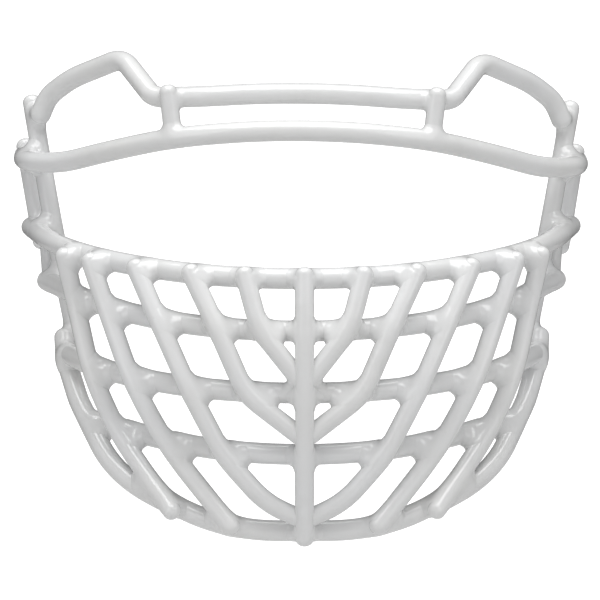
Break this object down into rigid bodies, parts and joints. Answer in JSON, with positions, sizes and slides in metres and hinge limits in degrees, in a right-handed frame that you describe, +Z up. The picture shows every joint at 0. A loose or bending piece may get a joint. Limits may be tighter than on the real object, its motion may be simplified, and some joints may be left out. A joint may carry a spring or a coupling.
{
  "type": "wire face guard",
  "caption": "Welded wire face guard for a football helmet: coated cross wires, front uprights and a jaw wire round an open eye port.",
  "frame": {"origin": "middle of the brow wire, where the guard hangs from the front of the helmet", "axes": "+X to the right when the guard is seen from the front, +Y from the front of the guard back towards the wearer, +Z up"},
  "size_m": [0.2222, 0.1342, 0.1868],
  "materials": {
    "coat": "gloss"
  },
  "bodies": {
    "root": {"brow_wire": "coat", "lower_brow_bar": "coat", "jaw_wire": "coat", "eye_bar": "coat", "nose_bar": "coat", "mouth_bar": "coat", "lower_bar": "coat", "side_upright_left": "coat", "side_upright_right": "coat", "clip_wire_upper_left": "coat", "clip_wire_upper_right": "coat", "clip_wire_lower_left": "coat", "clip_wire_lower_right": "coat", "centre_upright": "coat", "upright_1_left": "coat", "upright_1_right": "coat", "upright_2_left": "coat", "upright_2_right": "coat", "upright_3_left": "coat", "upright_3_right": "coat", "upright_4_left": "coat", "upright_4_right": "coat", "upright_5_left": "coat", "upright_5_right": "coat", "strut_left": "coat", "strut_right": "coat"}
  },
  "joints": []
}
